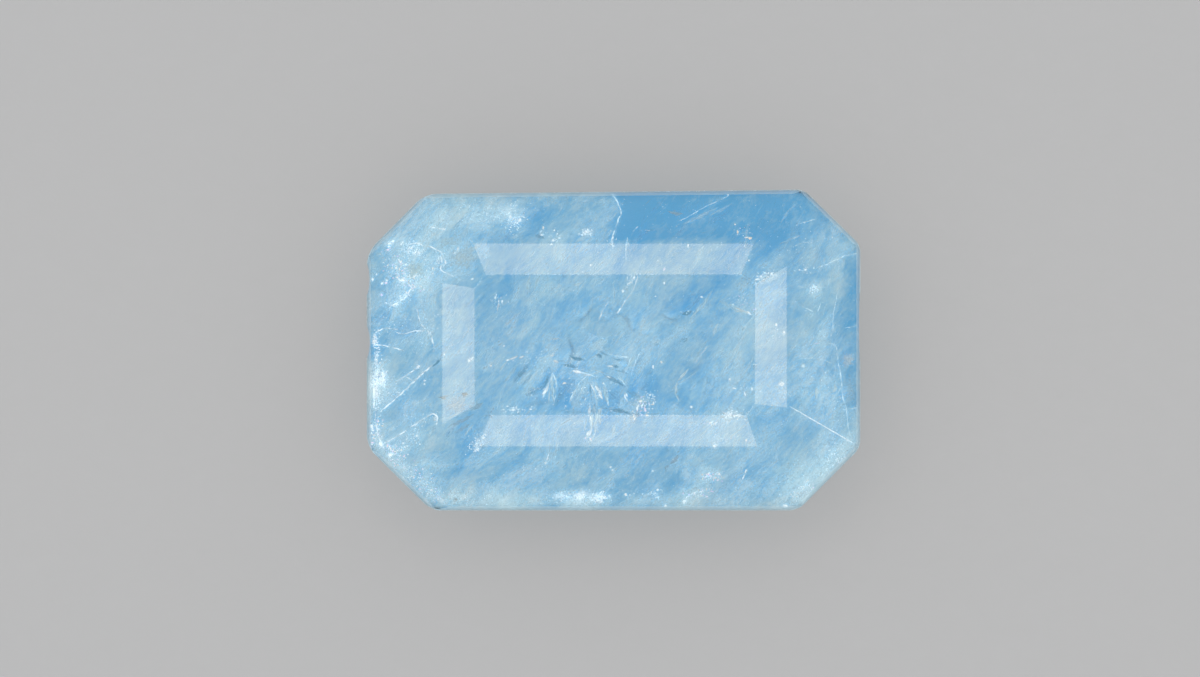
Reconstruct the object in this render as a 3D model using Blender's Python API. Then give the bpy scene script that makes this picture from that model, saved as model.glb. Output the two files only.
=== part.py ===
"""A cut sapphire: one stone in an emerald cut, a long octagon of flat facets with chips in its edge.

The stone is made as a cutter makes it. A block is sawn to an eight-sided blank, its upright corners are
rounded, and then each facet is ground as one flat plane. Last, small flakes are knocked off the edge.
Metres, +Z up. The stone rests on its culet, the flat facet underneath, with the culet at z = 0, the table
on top and the length along X.
"""

import math
from collections import namedtuple

import bmesh
import bpy
from mathutils import Vector

MM = 0.001

# Driving dimensions, in millimetres
LENGTH = 14.0
WIDTH = 9.1
CORNER_SEGMENTS = 8

PAVILION_DEPTH = 3.30
GIRDLE_THICKNESS = 0.32
RIM_WIDTH = 0.12
RIM_SLOPE = math.radians(60)
MAIN_RISE = 1.12
STEP_RISE = 0.345

# Heights of the lines where one ring of facets meets the next
GIRDLE_TOP = PAVILION_DEPTH + GIRDLE_THICKNESS
GIRDLE_MIDDLE = PAVILION_DEPTH + GIRDLE_THICKNESS / 2
RIM_TOP = GIRDLE_TOP + RIM_WIDTH * math.tan(RIM_SLOPE)
STEP_FOOT = RIM_TOP + MAIN_RISE
TABLE_HEIGHT = STEP_FOOT + STEP_RISE

# Rings under the girdle: the share of the way in from the girdle to the culet, and the height there
PAVILION_LINES = ((0.0, PAVILION_DEPTH), (0.20, 2.10), (0.52, 0.98), (1.0, 0.0))

# Each side of the octagon, counter-clockwise from +X. Azimuths are in degrees. A reach is how far the side
# lies from the stone's axis: the girdle and culet are measured along the wall's azimuth, and the foot of
# the main facet, the foot of the narrow step and the table's edge along the crown's azimuth. The corner is
# the radius of the upright corner between the side and the next one.
Side = namedtuple("Side", "wall_azimuth girdle culet crown_azimuth main step table corner")
SIDES = (
    Side(0.0, LENGTH / 2, 3.70, 0.0, 6.86, 4.87, 3.97, 0.45),
    Side(45.0, 7.05, 3.42, 55.0, 6.44, 4.72, 3.80, 0.50),
    Side(90.65, 4.49, 1.40, 90.0, 4.35, 3.00, 2.13, 0.85),
    Side(135.0, 6.91, 3.36, 142.0, 6.94, 4.96, 4.15, 0.90),
    Side(180.0, LENGTH / 2, 3.70, 180.0, 6.86, 4.82, 3.91, 0.80),
    Side(225.0, 6.88, 3.36, 238.5, 6.16, 4.30, 3.37, 0.65),
    Side(270.0, WIDTH / 2, 1.40, 270.0, 4.41, 2.71, 1.83, 0.60),
    Side(315.0, 6.91, 3.36, 323.0, 7.07, 4.86, 4.08, 0.50),
)

# Chips flaked off the edge: azimuth of the wall, distance along the wall counter-clockwise from its middle,
# depth of the bite, half its length and half its height on the wall, and the height of its middle
Chip = namedtuple("Chip", "azimuth along depth half_length half_height middle")
CHIPS = (
    Chip(180.0, -2.00, 0.110, 0.46, 0.50, GIRDLE_MIDDLE + 0.04),
    Chip(180.0, -0.22, 0.125, 0.48, 0.56, GIRDLE_MIDDLE),
    Chip(315.0, 0.26, 0.060, 0.26, 0.44, GIRDLE_MIDDLE + 0.05),
    Chip(0.0, 0.65, 0.045, 1.10, 0.60, GIRDLE_MIDDLE),
)

SAPPHIRE_BLUE = (0.42, 0.68, 0.86, 1.0)
SAPPHIRE_IOR = 1.768

# Distances in metres under which two points count as one, in a cut and on a wall
SAME_POINT = 1e-8
ON_WALL = 1e-6


def clear_scene():
    for thing in list(bpy.data.objects):
        bpy.data.objects.remove(thing, do_unlink=True)


def collection(name):
    made = bpy.data.collections.new(name)
    bpy.context.scene.collection.children.link(made)
    return made


def outward(azimuth):
    """The level direction that an azimuth in degrees faces."""
    turn = math.radians(azimuth)
    return Vector((math.cos(turn), math.sin(turn), 0.0))


def grind(stone, point, normal):
    """Takes off everything beyond the plane and closes the cut with one flat facet."""
    everything = stone.verts[:] + stone.edges[:] + stone.faces[:]
    cut = bmesh.ops.bisect_plane(
        stone, geom=everything, dist=SAME_POINT, plane_co=point, plane_no=normal, clear_outer=True
    )
    rim = [part for part in cut["geom_cut"] if isinstance(part, bmesh.types.BMEdge)]
    bmesh.ops.edgeloop_fill(stone, edges=rim)


def facet(azimuth, low, high):
    """The plane, as a point and a normal, through two (reach, height) points that face the azimuth."""
    (low_reach, low_height), (high_reach, high_height) = low, high
    facing = outward(azimuth)
    point = facing * low_reach * MM + Vector((0, 0, low_height * MM))
    climb = facing * (high_reach - low_reach) + Vector((0, 0, high_height - low_height))
    across = Vector((0, 0, 1)).cross(facing)
    return point, across.cross(climb).normalized()


def rim_facet(side, main_facet):
    """The thin steep facet that trims a main facet to one even width along the wall."""
    main_point, main_normal = main_facet
    wall = outward(side.wall_azimuth)
    main_fall = Vector((main_normal.x, main_normal.y, 0)) / main_normal.z
    edge = wall * (side.girdle - RIM_WIDTH) * MM
    edge.z = main_point.z - main_fall.dot(edge - main_point)
    rim_fall = main_fall + wall * (math.tan(RIM_SLOPE) - main_fall.dot(wall))
    return edge, Vector((rim_fall.x, rim_fall.y, 1)).normalized()


def round_corner(stone, side, following):
    """Rounds the upright corner where two walls of the blank meet."""

    def on_both_walls(edge):
        walls = [(outward(s.wall_azimuth), s.girdle * MM) for s in (side, following)]
        return all(abs(v.co.dot(facing) - reach) < ON_WALL for v in edge.verts for facing, reach in walls)

    turn = math.radians((following.wall_azimuth - side.wall_azimuth) % 360)
    bmesh.ops.bevel(
        stone,
        geom=[edge for edge in stone.edges if on_both_walls(edge)],
        offset=side.corner * math.tan(turn / 2) * MM,
        offset_type="OFFSET",
        segments=CORNER_SEGMENTS,
        profile=0.5,
        affect="EDGES",
    )


def saw_blank(stone):
    """The eight upright walls, with rounded corners where they meet."""
    bmesh.ops.create_cube(stone, size=3 * LENGTH * MM)
    for side in SIDES:
        facing = outward(side.wall_azimuth)
        grind(stone, facing * side.girdle * MM, facing)
    for side, following in zip(SIDES, SIDES[1:] + SIDES[:1]):
        round_corner(stone, side, following)


def grind_crown(stone):
    for side in SIDES:
        main_facet = facet(side.crown_azimuth, (side.main, RIM_TOP), (side.step, STEP_FOOT))
        grind(stone, *main_facet)
        grind(stone, *rim_facet(side, main_facet))
    for side in SIDES:
        grind(stone, *facet(side.crown_azimuth, (side.step, STEP_FOOT), (side.table, TABLE_HEIGHT)))
    grind(stone, Vector((0, 0, TABLE_HEIGHT * MM)), Vector((0, 0, 1)))


def grind_pavilion(stone):
    for (upper_share, upper_height), (lower_share, lower_height) in zip(PAVILION_LINES, PAVILION_LINES[1:]):
        for side in SIDES:
            way_in = side.girdle - side.culet
            low = (side.girdle - lower_share * way_in, lower_height)
            high = (side.girdle - upper_share * way_in, upper_height)
            grind(stone, *facet(side.wall_azimuth, low, high))
    grind(stone, Vector((0, 0, 0)), Vector((0, 0, -1)))


def stone_mesh():
    stone = bmesh.new()
    saw_blank(stone)
    grind_crown(stone)
    grind_pavilion(stone)
    bmesh.ops.recalc_face_normals(stone, faces=stone.faces)
    mesh = bpy.data.meshes.new("sapphire")
    stone.to_mesh(mesh)
    stone.free()
    return mesh


def chip_cutter(number, chip, into):
    """A flattened ball that bites the stone's edge and leaves the shell-shaped scar of a flake.

    The ball is four bites thick and its middle stands off the wall by one, so it reaches in by one, and its
    outline on the wall is a little smaller than at its middle.
    """
    smaller = math.sqrt(1 - 0.5**2)
    ball = bmesh.new()
    bmesh.ops.create_icosphere(ball, subdivisions=3, radius=MM)
    half_sizes = Vector((2 * chip.depth, chip.half_length / smaller, chip.half_height / smaller))
    bmesh.ops.scale(ball, vec=half_sizes, verts=ball.verts)
    mesh = bpy.data.meshes.new(f"chip_{number}")
    ball.to_mesh(mesh)
    ball.free()
    cutter = bpy.data.objects.new(f"chip_{number}", mesh)
    into.objects.link(cutter)
    reach = next(side.girdle for side in SIDES if side.wall_azimuth == chip.azimuth)
    facing = outward(chip.azimuth)
    along = Vector((0, 0, 1)).cross(facing)
    cutter.location = (facing * (reach + chip.depth) + along * chip.along) * MM
    cutter.location.z = chip.middle * MM
    cutter.rotation_euler.z = math.radians(chip.azimuth)
    cutter.hide_render = True
    cutter.display_type = "WIRE"
    return cutter


def sapphire_material():
    material = bpy.data.materials.new("sapphire")
    material.use_nodes = True
    shader = material.node_tree.nodes["Principled BSDF"]
    shader.inputs["Base Color"].default_value = SAPPHIRE_BLUE
    shader.inputs["Metallic"].default_value = 0.0
    shader.inputs["Roughness"].default_value = 0.04
    shader.inputs["IOR"].default_value = SAPPHIRE_IOR
    shader.inputs["Transmission Weight"].default_value = 0.8
    return material


def main():
    clear_scene()
    parts = collection("sapphire")
    cutters = collection("cutters")
    stone = bpy.data.objects.new("sapphire", stone_mesh())
    parts.objects.link(stone)
    stone.data.materials.append(sapphire_material())
    for number, chip in enumerate(CHIPS, start=1):
        flake = stone.modifiers.new(f"chip_{number}", "BOOLEAN")
        flake.operation = "DIFFERENCE"
        flake.solver = "EXACT"
        flake.object = chip_cutter(number, chip, cutters)


main()
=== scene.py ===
"""The looks of the cut sapphire: its polish and colour, and the clouds, feathers, cracks and silk inside it.

Flaws are placed by the pixel of the photograph where they show. The photograph looks straight down on the
table, so each flaw lies on the line of sight that its pixel makes below the crown, bent by the facet above.
"""

import math
import random
from collections import namedtuple

import bmesh
import bpy
import numpy as np
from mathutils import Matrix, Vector, noise
from mathutils.bvhtree import BVHTree


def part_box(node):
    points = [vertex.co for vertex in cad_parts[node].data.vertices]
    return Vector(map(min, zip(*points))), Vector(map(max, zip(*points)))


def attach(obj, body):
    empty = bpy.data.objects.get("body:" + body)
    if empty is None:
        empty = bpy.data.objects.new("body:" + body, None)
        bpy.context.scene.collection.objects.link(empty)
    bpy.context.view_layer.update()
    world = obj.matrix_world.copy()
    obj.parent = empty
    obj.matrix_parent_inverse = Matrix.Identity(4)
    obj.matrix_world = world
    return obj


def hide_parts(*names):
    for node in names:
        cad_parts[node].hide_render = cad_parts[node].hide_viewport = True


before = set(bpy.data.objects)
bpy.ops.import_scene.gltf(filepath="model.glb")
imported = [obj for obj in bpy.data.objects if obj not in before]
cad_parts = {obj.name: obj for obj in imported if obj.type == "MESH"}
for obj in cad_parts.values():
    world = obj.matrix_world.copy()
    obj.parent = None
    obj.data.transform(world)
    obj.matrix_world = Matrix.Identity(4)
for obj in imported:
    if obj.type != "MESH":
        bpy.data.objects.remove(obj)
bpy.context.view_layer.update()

NODE = "sapphire"
MM = 0.001
SAPPHIRE_IOR = 1.77

# The photograph's frame, and where the stone's outline lies in it
FRAME_WIDTH_PX = 1200
FRAME_HEIGHT_PX = 677
STONE_LENGTH_PX = 493
STONE_MIDDLE_PX = (613.5, 350.0)

LOWEST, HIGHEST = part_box(NODE)
PIXEL = (HIGHEST.x - LOWEST.x) / STONE_LENGTH_PX
MIDDLE = Vector((0, 0, 0.58 * HIGHEST.z))
GIRDLE_HEIGHT = 0.65 * HIGHEST.z
GIRDLE_BAND = (0.6 * HIGHEST.z, 0.76 * HIGHEST.z)

# Points nearer to each other than this are one, and so are facets turned less against each other
SAME_POINT = 1e-7
SAME_FACET = math.radians(0.6)
ON_PLANE = 1e-3 * MM

# A facet is upright where its normal's z is smaller than this, and broad where its area is larger
UPRIGHT = 0.1
BROAD_AREA = 0.4 * MM**2

# Linear colours of the stone's cloud, from the clearest places to the whitest
DEEP_BLUE = (0.07, 0.45, 0.80)
MID_BLUE = (0.25, 0.58, 0.83)
PALE_BLUE = (0.47, 0.73, 0.875)
MILK = (0.72, 0.87, 0.92)


def link(thing):
    bpy.context.scene.collection.objects.link(thing)
    return thing


def clean_stone():
    """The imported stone's mesh with each facet as one flat face."""
    body = bmesh.new()
    body.from_mesh(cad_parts[NODE].data)
    bmesh.ops.remove_doubles(body, verts=body.verts, dist=SAME_POINT)
    bmesh.ops.dissolve_limit(body, angle_limit=SAME_FACET, verts=body.verts, edges=body.edges)
    return body


STONE = clean_stone()
STONE_TREE = BVHTree.FromBMesh(STONE)
CORNERS = np.array([vertex.co for vertex in STONE.verts])


def is_outer(face):
    """Whether all the stone lies behind the facet's plane, as it does but for the scars of the chips."""
    return (CORNERS @ np.array(face.normal)).max() < face.normal.dot(face.verts[0].co) + ON_PLANE


def outer_planes():
    """The normals, reaches and areas of the facets that all the stone lies behind."""
    planes = [(f.normal, f.normal.dot(f.verts[0].co), f.calc_area()) for f in STONE.faces if is_outer(f)]
    return [np.array(values) for values in zip(*planes)]


NORMALS, REACHES, AREAS = outer_planes()
WALLS = np.abs(NORMALS[:, 2]) < UPRIGHT
BROAD = AREAS > BROAD_AREA


def drawn_inside(points, margin=0.03 * MM):
    """The points, drawn towards the stone's middle as far as it takes to lie inside by the margin."""
    middle = np.array(MIDDLE)
    steps = (points - middle) @ NORMALS.T
    rooms = REACHES - NORMALS @ middle - margin
    shares = np.where(steps > 0, rooms / np.maximum(steps, 1e-12), 1.0)
    points = middle + (points - middle) * np.minimum(1.0, shares.min(axis=1))[:, None]
    for place, point in enumerate(points):
        spot, normal, _, _ = STONE_TREE.find_nearest(Vector(point))
        if (Vector(point) - spot).dot(normal) > -0.8 * margin:
            points[place] = spot - normal * margin
    return points


def line_of_sight(x_px, y_px):
    """Where the line of sight of a pixel enters the stone, and the way it goes on, bent by the facet."""
    start = Vector(((x_px - STONE_MIDDLE_PX[0]) * PIXEL, (STONE_MIDDLE_PX[1] - y_px) * PIXEL, 1.0))
    down = Vector((0, 0, -1))
    hit, normal, _, _ = STONE_TREE.ray_cast(start, down)
    if hit is None:
        return Vector((start.x, start.y, GIRDLE_HEIGHT)), down
    ratio = 1 / SAPPHIRE_IOR
    bent = math.sqrt(1 - ratio**2 * (1 - normal.z**2))
    return hit, ratio * down + (ratio * normal.z - bent) * normal


# Materials


class Surface:
    """A material under way, with short ways to add nodes.

    A value is a number, a colour, a vector or another node's output.
    """

    def __init__(self, name):
        self.material = bpy.data.materials.new(name)
        self.material.use_nodes = True
        self.nodes = self.material.node_tree.nodes
        self.shader = self.nodes["Principled BSDF"]
        self.output = self.nodes["Material Output"]

    def feed(self, node, inputs):
        """Sets a node's inputs to values, by name or number."""
        for name, value in inputs.items():
            if isinstance(value, bpy.types.NodeSocket):
                self.material.node_tree.links.new(value, node.inputs[name])
            else:
                node.inputs[name].default_value = value

    def node(self, kind, inputs, output=0, **options):
        """One of a new node's outputs."""
        node = self.nodes.new(f"ShaderNode{kind}")
        for option, value in options.items():
            setattr(node, option, value)
        self.feed(node, inputs)
        return node.outputs[output]

    def look(self, **inputs):
        """Sets the shader's inputs, whose names here have _ for a space."""
        self.feed(self.shader, {name.replace("_", " "): value for name, value in inputs.items()})

    def maths(self, operation, first, second):
        return self.node("Math", {0: first, 1: second}, operation=operation)

    def ranged(self, value, low, high, to_low, to_high):
        limits = {"From Min": low, "From Max": high, "To Min": to_low, "To Max": to_high}
        return self.node("MapRange", {"Value": value, **limits}, interpolation_type="SMOOTHSTEP")

    def blend(self, share, first, second):
        """A number between two others, as the share goes from 0 to 1."""
        return self.node("Mix", {0: share, 2: first, 3: second})

    def blend_colour(self, share, first, second):
        return self.node("Mix", {0: share, 6: first, 7: second}, 2, data_type="RGBA")

    def ramp(self, value, stops):
        colour = self.node("ValToRGB", {"Fac": value}, "Color")
        elements = colour.node.color_ramp.elements
        while len(elements) < len(stops):
            elements.new(0.5)
        for element, (place, tint) in zip(elements, stops):
            element.position = place
            element.color = (*tint, 1)
        return colour

    def attribute(self, name, output="Fac"):
        return self.node("Attribute", {}, output, attribute_name=name)

    def noise(self, place, detail, roughness):
        grain = {"Scale": 1.0, "Detail": detail, "Roughness": roughness}
        return self.node("TexNoise", {"Vector": place, **grain})

    def grown(self, turn, scale, warp, detail=5.0, roughness=0.6):
        """Noise drawn out along the stone's grain, whose lines wander by the warp, in millimetres."""
        place = self.node("TexCoord", {}, "Object")
        drift = self.node("TexNoise", {"Vector": place, "Scale": 0.45 / MM, "Detail": 2.0}, "Color")
        moved = self.node("VectorMath", {0: drift, 1: (warp * MM,) * 3, 2: place}, operation="MULTIPLY_ADD")
        turned = self.node("Mapping", {"Vector": moved, "Rotation": (0, 0, -math.radians(turn))})
        stretched = self.node("Mapping", {"Vector": turned, "Scale": [s / MM for s in scale]})
        return self.noise(stretched, detail, roughness)

    def relief(self, height, depth, strength=1.0, **normal):
        """A bump, whose depth is in millimetres."""
        return self.node("Bump", {"Height": height, "Distance": depth * MM, "Strength": strength, **normal})

    def cloudy_relief(self, height, depth):
        """A weak bump on a normal turned upright, as light scattered in a cloud shades its slopes little."""
        true_normal = self.node("NewGeometry", {}, "Normal")
        flattened = self.node("VectorMath", {0: true_normal, 1: (0.3, 0.3, 1)}, operation="MULTIPLY")
        upright = self.node("VectorMath", {0: flattened}, operation="NORMALIZE")
        return self.relief(height, depth, 0.4, Normal=upright)

    def mix(self, share, first, second):
        """Makes the surface a mix of two shaders."""
        self.feed(self.output, {"Surface": self.node("MixShader", {0: share, 1: first, 2: second})})

    def fade(self, cover):
        """Lets the shader show only as far as the cover says, from 0 to 1."""
        self.mix(cover, self.node("BsdfTransparent", {}), self.shader.outputs[0])

    def lamp_clear(self):
        """Lets lamp light through without a shadow."""
        lamp_light = self.node("LightPath", {}, "Is Shadow Ray")
        self.mix(lamp_light, self.shader.outputs[0], self.node("BsdfTransparent", {}))


def stone_material():
    """See-through sapphire, polished on its facets and fine-ground where it is painted so.

    Lamps shine through it, to light what lies inside.
    """
    surface = Surface("sapphire")
    ground = surface.attribute("ground")
    mottle = surface.grown(55, (0.5, 1.3, 1.0), 1.0)
    grain = surface.grown(0, (7, 7, 16), 0.2, 4, 0.7)
    rub = surface.grown(20, (1.5, 9, 4), 0.3, 3, 0.7)
    lines = surface.grown(32, (0.5, 30, 12), 0.2, 3, 0.6)
    polished = surface.ramp(mottle, ((0.35, (0.72, 0.91, 0.98)), (0.65, (0.86, 0.95, 0.99))))
    frosted = surface.ramp(grain, ((0.3, (0.55, 0.85, 0.97)), (0.7, (0.75, 0.95, 1.0))))
    polish = surface.ranged(rub, 0.35, 0.75, 0.008, 0.03)
    matt = surface.ranged(grain, 0.3, 0.7, 0.14, 0.3)
    height = surface.blend(ground, surface.maths("MULTIPLY", lines, 0.12), grain)
    surface.look(
        IOR=SAPPHIRE_IOR,
        Transmission_Weight=surface.blend(ground, 0.93, 0.2),
        Base_Color=surface.blend_colour(ground, polished, frosted),
        Roughness=surface.blend(ground, polish, matt),
        Normal=surface.relief(height, 0.0015),
    )
    surface.lamp_clear()
    depth_colour = surface.node("VolumeAbsorption", {"Color": (0.073, 0.627, 0.9, 1), "Density": 60})
    surface.feed(surface.output, {"Volume": depth_colour})
    return surface.material


# The grain of the cloud, from broad swirls down to silk and fine dust: turn, lines to a millimetre along
# each axis, warp, detail, roughness and share
CLOUD_GRAIN = (
    (50, (0.35, 0.75, 0.5), 1.6, 4, 0.55, 0.30),
    (57, (1.1, 2.6, 1.7), 1.3, 5, 0.62, 0.26),
    (58, (2.2, 9, 4), 0.7, 4, 0.65, 0.13),
    (40, (5, 11, 7), 0.3, 3, 0.65, 0.17),
)


def cloud_material(name, stops, fineness, strength, cover):
    """Cloud whose whiteness follows the haze painted on the mesh, broken up by grain.

    The cover, unless it is None, gives low and high haze and how far each hides.
    """
    surface = Surface(name)
    haze = surface.attribute("haze")
    for turn, scale, warp, detail, roughness, share in CLOUD_GRAIN:
        grain = surface.grown(turn, [s * fineness for s in scale], warp, detail, roughness)
        half = share * strength
        haze = surface.maths("ADD", haze, surface.ranged(grain, 0.25, 0.75, -half, half))
    surface.look(
        Base_Color=surface.ramp(haze, stops),
        Roughness=surface.ranged(haze, 0.0, 1.0, 0.85, 0.6),
        Specular_IOR_Level=0.1,
        Normal=surface.cloudy_relief(haze, 0.02),
    )
    if cover:
        surface.fade(surface.ranged(haze, *cover))
    return surface.material


def flaw_material(name, grain, low=1.0, high=1.0, hides=True, glow=0.0):
    """A flaw in the tint painted on it, streaked along its own grain, whose lines are so many to a pixel.

    It hides what is behind it as far as its painted strength says, or wholly.
    """
    surface = Surface(name)
    place = surface.node("Mapping", {"Vector": surface.attribute("grain", "Vector"), "Scale": grain})
    streaks = surface.noise(place, 4.0, 0.6)
    light = surface.ranged(streaks, 0.35, 0.6, 0.88, 1.0)
    tint = surface.attribute("tint", "Color")
    surface.look(
        Base_Color=surface.node("VectorMath", {0: tint, "Scale": light}, operation="SCALE"),
        Roughness=surface.ranged(streaks, 0.3, 0.7, 0.7, 0.4),
        Specular_IOR_Level=0.2,
        Normal=surface.cloudy_relief(streaks, 0.01),
    )
    # Painted light: a glow makes the flaw shine bluish white of itself, with no lamp on it
    if glow:
        surface.look(Emission_Color=(0.75, 0.88, 1.0, 1), Emission_Strength=glow)
    if hides:
        shown = surface.ranged(streaks, 0.36, 0.62, low, high)
        cover = surface.maths("MULTIPLY", surface.attribute("strength"), shown)
        surface.fade(surface.maths("MINIMUM", cover, 1.0))
    return surface.material


# The stone and its haze

HAZE_LEVEL = 0.48

# Soft places: more milky above nothing, clearer and bluer below it
Place = namedtuple("Place", "x y half_length half_width turn haze")
HAZE_PLACES = (
    # clear and deep blue
    Place(700, 218, 60, 30, 0, -0.14),
    Place(806, 212, 34, 20, -45, -0.30),
    Place(740, 205, 40, 14, 15, -0.14),
    Place(850, 318, 18, 60, 0, -0.34),
    Place(650, 300, 34, 30, 0, -0.06),
    Place(686, 313, 9, 5, 20, -0.35),
    Place(560, 464, 90, 16, 0, 0.03),
    Place(620, 398, 110, 16, 0, -0.07),
    Place(560, 222, 52, 24, 0, -0.20),
    Place(388, 352, 26, 12, 0, -0.14),
    Place(395, 410, 26, 14, 35, -0.10),
    Place(540, 392, 30, 14, 10, -0.14),
    Place(574, 398, 14, 14, 40, -0.20),
    Place(650, 385, 26, 14, -20, -0.16),
    Place(690, 345, 30, 12, 30, -0.10),
    Place(760, 255, 30, 16, 40, -0.12),
    Place(500, 290, 26, 22, 0, -0.08),
    Place(740, 470, 30, 20, 0, -0.05),
    # milky and pale
    Place(425, 222, 44, 22, 35, 0.14),
    Place(500, 212, 40, 18, 0, 0.16),
    Place(418, 270, 34, 30, 0, 0.20),
    Place(378, 390, 14, 28, 0, 0.40),
    Place(415, 475, 48, 22, -40, 0.20),
    Place(480, 497, 70, 12, 0, 0.20),
    Place(640, 500, 120, 9, 0, 0.22),
    Place(815, 470, 46, 30, 45, 0.30),
    Place(820, 400, 26, 42, 0, 0.10),
    Place(745, 345, 60, 22, 58, 0.03),
    Place(560, 340, 50, 20, 50, 0.08),
    Place(812, 288, 12, 10, 0, 0.22),
    Place(620, 290, 10, 34, 60, 0.12),
)

# Clear-cut zones: haze, then corners clockwise, each with the softness in pixels of the side it starts
PANES = (
    (-0.44, ((612, 188, 2), (772, 188, 50), (772, 213, 2), (621, 213, 2))),
    (-0.44, ((621, 213, 2), (772, 213, 50), (772, 247, 2), (611, 247, 2))),
    (-0.14, ((626, 247, 2), (765, 247, 20), (742, 276, 4), (637, 276, 2))),
    (-0.10, ((640, 277, 14), (706, 277, 10), (672, 320, 10), (600, 322, 14))),
    (-0.17, ((702, 275, 2), (734, 275, 3), (704, 304, 3), (668, 317, 2.5))),
    (-0.22, ((844, 261, 4), (864, 259, 1), (864, 327, 2), (845, 328, 3))),
    (-0.10, ((842, 361, 5), (864, 361, 1), (864, 408, 1.5), (844, 410, 2))),
    (-0.10, ((436, 366, 3), (448, 356, 6), (448, 398, 8), (402, 396, 3))),
    (-0.12, ((468, 430, 8), (488, 420, 8), (486, 452, 8), (462, 452, 8))),
)

# The skins of cloud, the deepest first: how much of the cloud's depth it takes, a seed, the fineness and
# strength of its grain, low and high haze with how far each hides, and its colours by haze
Skin = namedtuple("Skin", "name depth seed fineness strength cover stops")
SKINS = (
    Skin("deep", 1.0, 1, 1.0, 0.75, None,
         ((0.0, DEEP_BLUE), (0.35, MID_BLUE), (0.7, PALE_BLUE), (1.0, MILK))),
    Skin("middle", 0.6, 2, 1.3, 1.0, (0.35, 1.05, 0.0, 0.5),
         ((0.3, MID_BLUE), (0.6, PALE_BLUE), (0.95, MILK))),
    Skin("upper", 0.3, 3, 1.9, 1.1, (0.5, 1.2, 0.0, 0.4), ((0.4, PALE_BLUE), (0.9, MILK))),
)
SKIN_SUBDIVISIONS = 6
WAVES_PER_MM = 0.4
HALVINGS = 20

# Worn edges: how wide, in millimetres, and how rubbed, on the outline and inside it
OUTLINE_WEAR = (0.032, 1.0)
INNER_WEAR = (0.005, 0.15)


def smooth_step(low, high, values):
    share = np.clip((values - low) / (high - low), 0, 1)
    return share * share * (3 - 2 * share)


def pane_cover(x, y, corners):
    """How far points lie in a convex zone, from 0 to 1."""
    cover = 1.0
    for (x0, y0, softness), (x1, y1, _) in zip(corners, corners[1:] + corners[:1]):
        inward = ((x1 - x0) * (y - y0) - (y1 - y0) * (x - x0)) / math.hypot(x1 - x0, y1 - y0)
        cover = cover * smooth_step(-softness, softness, inward)
    return cover


def haze_at(points, zones=PANES):
    """How milky the stone is at each point, from 0, clear, to 1."""
    x = points[:, 0] / PIXEL + STONE_MIDDLE_PX[0]
    y = STONE_MIDDLE_PX[1] - points[:, 1] / PIXEL
    haze = np.full(len(points), HAZE_LEVEL)
    for place in HAZE_PLACES:
        cos, sin = math.cos(math.radians(place.turn)), math.sin(math.radians(place.turn))
        along = (x - place.x) * cos - (y - place.y) * sin
        across = (x - place.x) * sin + (y - place.y) * cos
        off = (along / place.half_length) ** 2 + (across / place.half_width) ** 2
        haze += place.haze * np.exp(-off)
    for extra, corners in zones:
        haze += extra * pane_cover(x, y, corners)
    return haze


def ball_mesh(name):
    """A ball's mesh, and its points drawn out to the stone's proportions."""
    ball = bmesh.new()
    bmesh.ops.create_icosphere(ball, subdivisions=SKIN_SUBDIVISIONS, radius=1)
    mesh = bpy.data.meshes.new(name)
    ball.to_mesh(mesh)
    ball.free()
    points = np.empty(len(mesh.vertices) * 3)
    mesh.vertices.foreach_get("co", points)
    return mesh, points.reshape(-1, 3) * np.array((HIGHEST.x, HIGHEST.y, HIGHEST.z / 2))


def skin_mesh(skin):
    """A closed skin of cloud inside the stone.

    It lies close under the surface at the stone's edge and where the stone is milky, and deep under it in the
    clear places of the middle.
    """
    mesh, points = ball_mesh(f"{skin.name}_cloud")
    directions = points / np.linalg.norm(points, axis=1)[:, None]
    shift = Vector([way * skin.seed for way in (7.3, 3.1, 5.7)])
    waves = np.array([noise.fractal(Vector(p) * WAVES_PER_MM / MM + shift, 1.0, 2.1, 2) for p in points])

    middle = np.array(MIDDLE)
    slopes = directions @ NORMALS.T
    rooms = REACHES - NORMALS @ middle
    surface = np.where(slopes > 1e-6, rooms / np.maximum(slopes, 1e-6), 1.0).min(axis=1)
    crust = middle + directions * surface[:, None]
    wall_gaps = (REACHES[WALLS] - crust @ NORMALS[WALLS].T).min(axis=1)
    inward = smooth_step(0.1 * MM, 2.4 * MM, wall_gaps)
    clearness = np.clip(1.6 - 1.2 * haze_at(crust, zones=()), 0.35, 1.6)
    inset = skin.depth * (0.10 + 0.9 * inward * clearness * (1 + 0.5 * waves)) * MM
    softness = (0.03 + 0.22 * inward) * MM
    near, far = np.zeros(len(points)), surface
    for _ in range(HALVINGS):
        reach = (near + far) / 2
        gaps = REACHES[BROAD] - (middle + directions * reach[:, None]) @ NORMALS[BROAD].T
        inside = -softness * np.log(np.exp(-gaps / softness[:, None]).sum(axis=1)) > inset
        near = np.where(inside, reach, near)
        far = np.where(inside, far, reach)
    points = drawn_inside(middle + directions * near[:, None])
    mesh.vertices.foreach_set("co", points.ravel())
    mesh.attributes.new("haze", "FLOAT", "POINT").data.foreach_set("value", haze_at(points))
    mesh.shade_smooth()
    mesh.update()
    return mesh


def add_piece(mesh, material):
    piece = link(bpy.data.objects.new(mesh.name, mesh))
    mesh.materials.append(material)
    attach(piece, "root")
    return piece


def add_skin(skin):
    material = cloud_material(f"{skin.name} cloud", skin.stops, skin.fineness, skin.strength, skin.cover)
    mesh = skin_mesh(skin)
    add_piece(mesh, material).visible_shadow = False
    return mesh


def make_haze():
    """Skins of cloud, one under another, so that the cloud has depth from every side.

    It returns the deepest skin, to measure by.
    """
    deepest = [add_skin(skin) for skin in SKINS][0]
    return BVHTree.FromPolygons([v.co for v in deepest.vertices], [p.vertices for p in deepest.polygons])


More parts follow.
